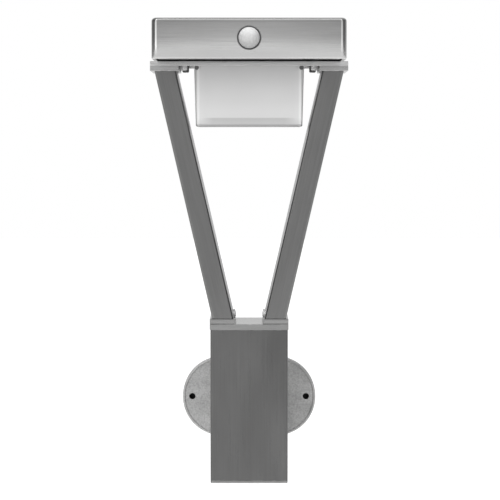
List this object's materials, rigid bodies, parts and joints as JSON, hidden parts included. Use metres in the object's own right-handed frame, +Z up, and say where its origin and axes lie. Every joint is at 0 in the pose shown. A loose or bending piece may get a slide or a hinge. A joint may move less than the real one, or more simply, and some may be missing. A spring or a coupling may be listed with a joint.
{
  "type": "solar fence light",
  "caption": "Solar wall and fence light: a square brushed-steel head with a motion sensor and an opal light box, on a V of tube arms over a square post with a wall bracket.",
  "frame": {"origin": "middle of the wall gasket's back face, where it meets the wall", "axes": "+X along the wall, +Y into the wall, +Z up; the lens faces -Y"},
  "size_m": [0.1562, 0.163, 0.3665],
  "materials": {
    "steel": "brushed, satin",
    "fastener_steel": "plain",
    "black_plastic": "moulded, fine grain",
    "rubber": "soft, matte",
    "opal_plastic": "opal, satin",
    "lens_plastic": "milky, faceted",
    "cover_glass": "clear",
    "solar_cell": "dark blue",
    "board": "lacquered",
    "white_board": "lacquered",
    "white_plastic": "moulded",
    "lamp_chip": "phosphor yellow",
    "cell_sleeve": "shrink sleeve",
    "contact_steel": "nickel plated",
    "wire_sleeve": "red and black pairs"
  },
  "bodies": {
    "lamp": {"wall_gasket": "rubber", "wall_plate": "steel", "standoff_tube": "steel", "standoff_bolts": "fastener_steel", "standoff_washers": "steel", "standoff_nuts": "fastener_steel", "post_body": "steel", "post_foot_plate": "steel", "post_cap": "steel", "cap_screws": "fastener_steel", "foot_flange_left": "steel", "foot_flange_right": "steel", "foot_flange_screws": "fastener_steel", "arm_left": "steel", "arm_right": "steel", "arm_screws": "fastener_steel", "top_flange_left": "steel", "top_flange_right": "steel", "top_flange_screws": "fastener_steel", "cross_plate": "steel", "diffuser": "opal_plastic", "diffuser_seal": "rubber", "diffuser_clips": "opal_plastic", "diffuser_screws": "fastener_steel", "window_seal": "rubber", "head_shell": "steel", "shell_brackets": "steel", "base_tray": "black_plastic", "tray_seal": "rubber", "tray_screws": "fastener_steel", "head_bolts": "fastener_steel", "head_washers": "steel", "head_cap_nuts": "steel", "solar_glass": "cover_glass", "solar_cells": "solar_cell", "panel_backing": "black_plastic", "panel_seal": "rubber", "pir_lens": "lens_plastic", "pir_seal": "rubber", "pir_holder": "black_plastic", "pir_board": "board", "pir_sensor": "contact_steel", "main_board": "board", "main_board_screws": "fastener_steel", "board_parts": "black_plastic", "switch_body": "black_plastic", "battery_cell": "cell_sleeve", "battery_holder": "black_plastic", "battery_contacts": "contact_steel", "battery_door": "black_plastic", "battery_door_seal": "rubber", "battery_door_screws": "fastener_steel", "led_board": "white_board", "led_chips": "lamp_chip", "led_board_screws": "fastener_steel", "lead_wires": "wire_sleeve"},
    "button": {"mode_button": "rubber", "switch_plunger": "white_plastic"}
  },
  "joints": [
    {"name": "mode_button_press", "type": "slide", "parent": "lamp", "child": "button", "axis": [0, 0, 1], "range_m": [0, 0.0015], "stiffness_N_per_m": 800}
  ]
}
